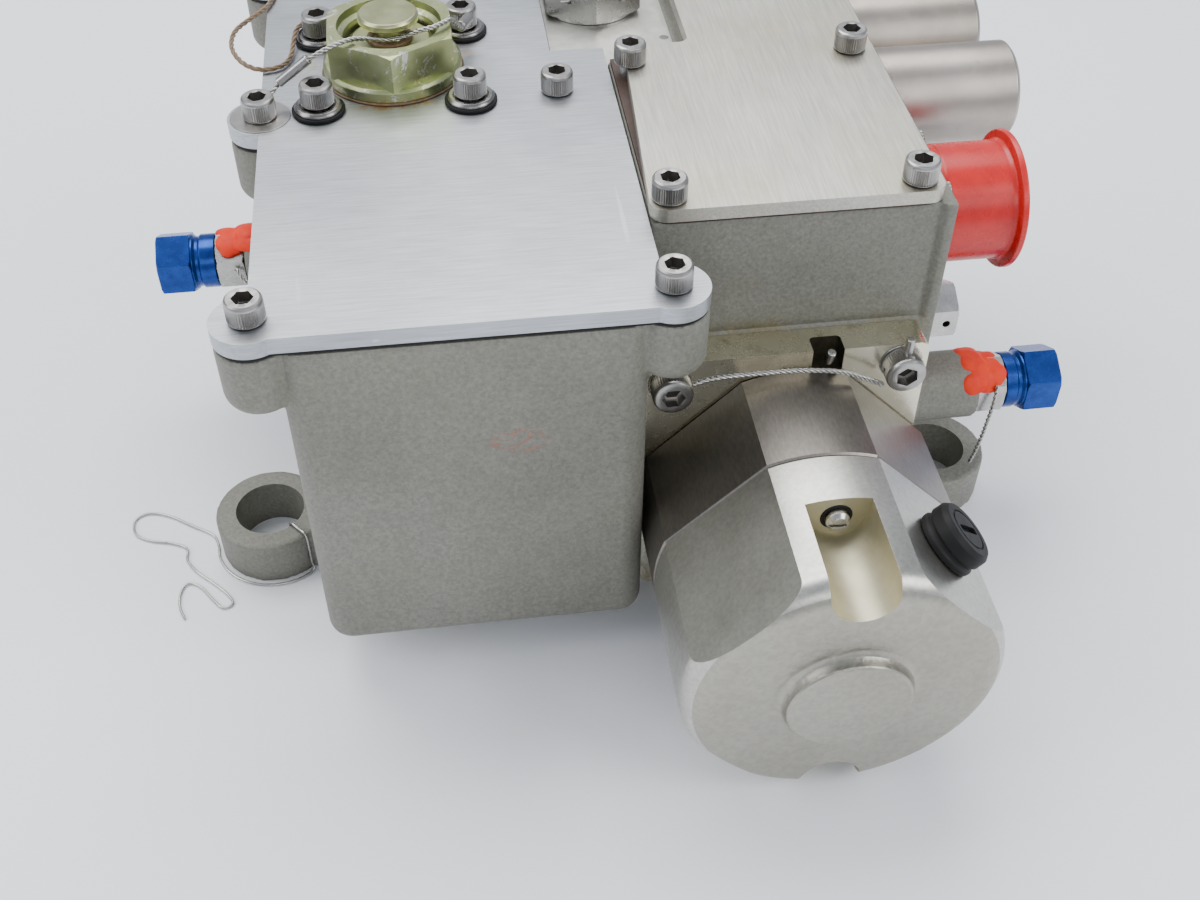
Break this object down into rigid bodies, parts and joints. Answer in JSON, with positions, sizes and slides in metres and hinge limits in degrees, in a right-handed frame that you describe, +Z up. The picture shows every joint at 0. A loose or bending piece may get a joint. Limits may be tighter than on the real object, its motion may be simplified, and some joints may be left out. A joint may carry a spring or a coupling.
{
  "type": "hydraulic power unit",
  "caption": "Motor-driven hydraulic power unit: cast reservoir with dipstick filler, valve manifold with solenoids, capped ports and flanged motor.",
  "frame": {"origin": "middle of the base, on the surface that the three mounting lugs stand on, measured without the loose wires", "axes": "+Z up, -Y towards the motor end bell, +X towards the solenoids and the electrical connector"},
  "size_m": [0.301, 0.261, 0.151],
  "materials": {
    "cover": "brushed plate",
    "lid": "brushed plate",
    "casting": "mottled casting",
    "gasket": "matt",
    "bell": "satin casting",
    "dark_steel": "satin",
    "flange": "bright, light gold",
    "chromate": "olive-gold plating",
    "canister": "satin",
    "copper": "varnished winding",
    "connector": "satin",
    "insert": "matt",
    "red": "semi-gloss",
    "blue": "anodised",
    "rubber": "matt",
    "brown_cord": "waxed cord",
    "steel": "bright"
  },
  "bodies": {
    "housing": {"bell_screw_bottom": "steel", "bell_screw_top": "steel", "connector_insert": "insert", "connector_shell": "connector", "end_bell": "bell", "eye_cord": "brown_cord", "filler_neck": "chromate", "filler_screw_1": "steel", "filler_screw_2": "steel", "filler_screw_3": "steel", "filler_screw_4": "steel", "filler_washer_1": "steel", "filler_washer_2": "steel", "filler_washer_3": "steel", "filler_washer_4": "steel", "flange_lockwire": "steel", "flange_screw_left": "steel", "flange_screw_right": "steel", "front_bearing": "steel", "left_fitting": "steel", "lug_wire": "steel", "manifold_block": "casting", "manifold_cover": "lid", "manifold_gasket": "gasket", "manifold_screw_back_left": "steel", "manifold_screw_back_right": "steel", "manifold_screw_front_left": "steel", "manifold_screw_front_right": "steel", "motor_flange": "flange", "motor_housing": "dark_steel", "rear_bearing": "steel", "recess_plug": "steel", "reservoir_cover": "cover", "reservoir_gasket": "gasket", "reservoir_screw_front_left": "steel", "reservoir_screw_front_right": "steel", "reservoir_screw_mid_left": "steel", "reservoir_screw_mid_right": "steel", "reservoir_screw_rear_left": "steel", "reservoir_tank": "casting", "right_fitting": "steel", "side_plug": "steel", "solenoid_case_front": "canister", "solenoid_case_rear": "canister", "solenoid_coil_front": "copper", "solenoid_coil_rear": "copper", "solenoid_spring_front": "steel", "solenoid_spring_rear": "steel", "stator": "copper"},
    "rotor": {"rotor": "steel", "drive_gear": "steel"},
    "driven_gear": {"driven_gear": "steel"},
    "filler_knob": {"filler_knob": "chromate", "lanyard_cable": "steel"},
    "plunger_front": {"solenoid_plunger_front": "steel"},
    "plunger_rear": {"solenoid_plunger_rear": "steel"},
    "connector_cap": {"connector_cap": "red"},
    "right_cap": {"right_cap": "blue"},
    "left_cap": {"left_cap": "blue"},
    "rubber_plug": {"rubber_plug": "rubber"}
  },
  "joints": [
    {"name": "rotor_spin", "type": "hinge", "parent": "housing", "child": "rotor", "pos_m": [0.0456, 0, 0.044], "axis": [0, 1, 0], "continuous": true},
    {"name": "driven_gear_spin", "type": "hinge", "parent": "housing", "child": "driven_gear", "pos_m": [0.0456, 0, 0.066], "axis": [0, 1, 0], "continuous": true},
    {"name": "filler_knob_lift", "type": "slide", "parent": "housing", "child": "filler_knob", "axis": [0, 0, 1], "range_m": [0, 0.118]},
    {"name": "solenoid_front_stroke", "type": "slide", "parent": "housing", "child": "plunger_front", "axis": [1, 0, 0], "range_m": [0, 0.0025], "stiffness_N_per_m": 2000, "springref_m": -0.002, "deforming": ["solenoid_spring_front"]},
    {"name": "solenoid_rear_stroke", "type": "slide", "parent": "housing", "child": "plunger_rear", "axis": [1, 0, 0], "range_m": [0, 0.0025], "stiffness_N_per_m": 2000, "springref_m": -0.002, "deforming": ["solenoid_spring_rear"]},
    {"name": "connector_cap_pull", "type": "slide", "parent": "housing", "child": "connector_cap", "axis": [1, 0, 0], "range_m": [0, 0.03]},
    {"name": "right_cap_unscrew", "type": "slide", "parent": "housing", "child": "right_cap", "axis": [1, 0, 0], "range_m": [0, 0.02]},
    {"name": "left_cap_unscrew", "type": "slide", "parent": "housing", "child": "left_cap", "axis": [-1, 0, 0], "range_m": [0, 0.02]},
    {"name": "rubber_plug_pull", "type": "slide", "parent": "housing", "child": "rubber_plug", "axis": [0.7071, 0, 0.7071], "range_m": [0, 0.012]}
  ],
  "couplings": [
    {"joint": "driven_gear_spin", "follows": "rotor_spin", "ratio": -1}
  ]
}
